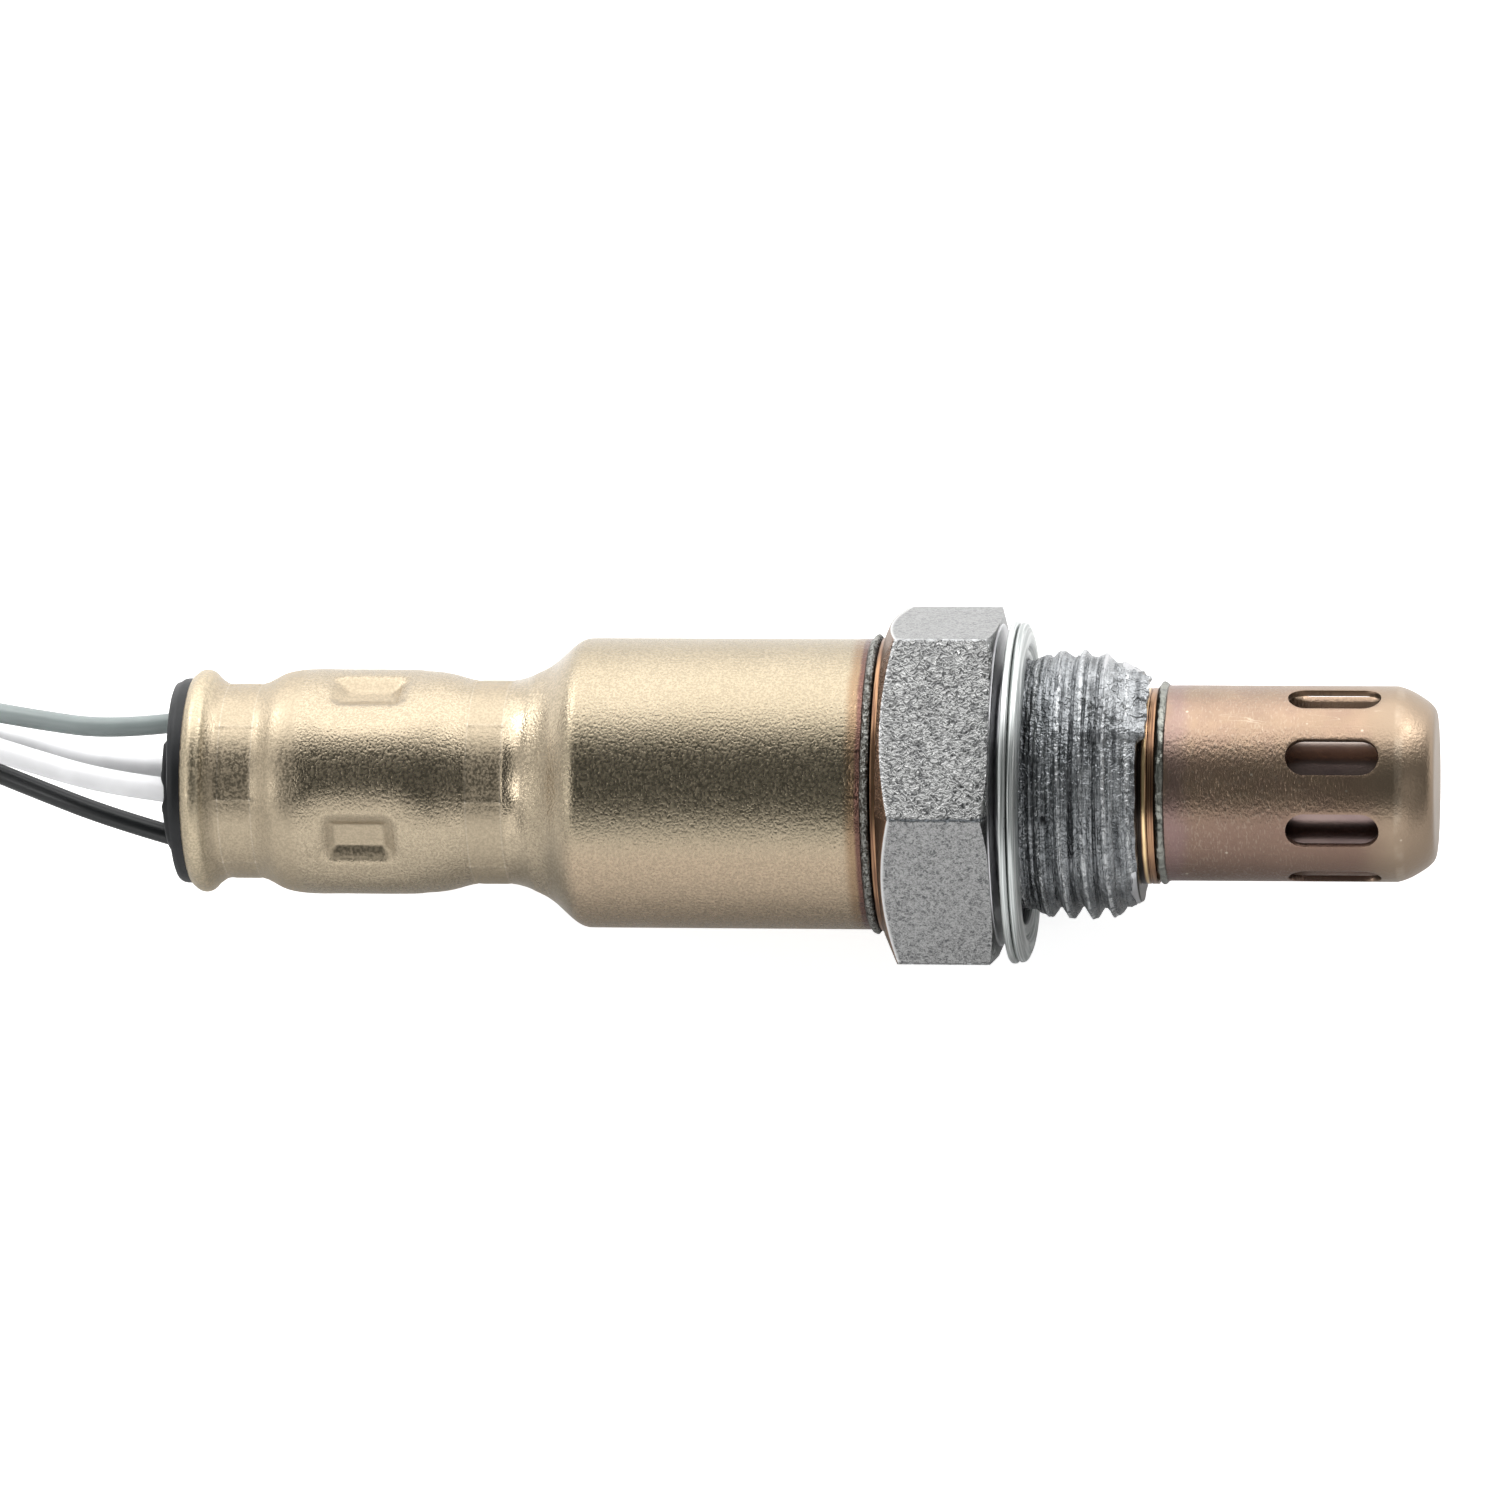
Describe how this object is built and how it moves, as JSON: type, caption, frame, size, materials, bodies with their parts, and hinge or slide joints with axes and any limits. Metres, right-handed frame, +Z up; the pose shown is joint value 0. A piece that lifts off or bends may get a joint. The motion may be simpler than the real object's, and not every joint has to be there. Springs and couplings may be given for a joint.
{
  "type": "oxygen sensor",
  "caption": "Heated exhaust oxygen sensor with threaded hexagon body, loose gasket, slotted tip shield, crimped rear cover and leads running into a sleeved plug.",
  "frame": {"origin": "on the sensor's axis, in the plane of the seat on the hexagon that squeezes the gasket", "axes": "+X along the sensor's axis towards its tip, +Z up out of the hexagon flat it does not lie on, +Y completes the right-handed frame"},
  "size_m": [0.2547, 0.0405, 0.023],
  "materials": {
    "shell_steel": "blasted, coarse and satin",
    "gasket_steel": "bright sheet, lightly scuffed",
    "cover_steel": "pale gold, fine grained",
    "shield_steel": "heat-tinted bronze with a violet band",
    "inner_steel": "heat-dulled",
    "contact_alloy": "plain sheet",
    "seal_metal": "plain",
    "zirconia": "matt",
    "white_ceramic": "matt, unglazed",
    "talc": "pressed powder",
    "rubber_black": "satin",
    "jacket_gray": "satin silicone",
    "jacket_white": "satin silicone",
    "jacket_black": "satin silicone",
    "sleeve_braid": "varnished glass-fibre braid",
    "collar_plastic": "shrunk tube",
    "housing_plastic": "moulded, fine matt",
    "tie_plastic": "moulded nylon",
    "seal_silicone": "soft silicone",
    "pin_metal": "tinned"
  },
  "bodies": {
    "root": {"shell": "shell_steel", "gasket": "gasket_steel", "rear_cover": "cover_steel", "grommet": "rubber_black", "outer_shield": "shield_steel", "inner_shield": "inner_steel", "sensing_thimble": "zirconia", "heater_rod": "white_ceramic", "packing_washer": "seal_metal", "talc_seal": "talc", "seal_insulator": "white_ceramic", "crimp_ring": "seal_metal", "inner_contact": "contact_alloy", "outer_contact": "contact_alloy", "heater_contacts": "contact_alloy", "crimp_barrels": "contact_alloy", "terminal_insulator": "white_ceramic", "lead_gray": "jacket_gray", "lead_white_a": "jacket_white", "lead_white_b": "jacket_white", "lead_black": "jacket_black", "sleeve_collar": "collar_plastic", "harness_sleeve": "sleeve_braid", "hank_tie": "tie_plastic", "connector_boot": "rubber_black", "connector_housing": "housing_plastic", "connector_seal": "seal_silicone", "connector_pins": "pin_metal"}
  },
  "joints": []
}
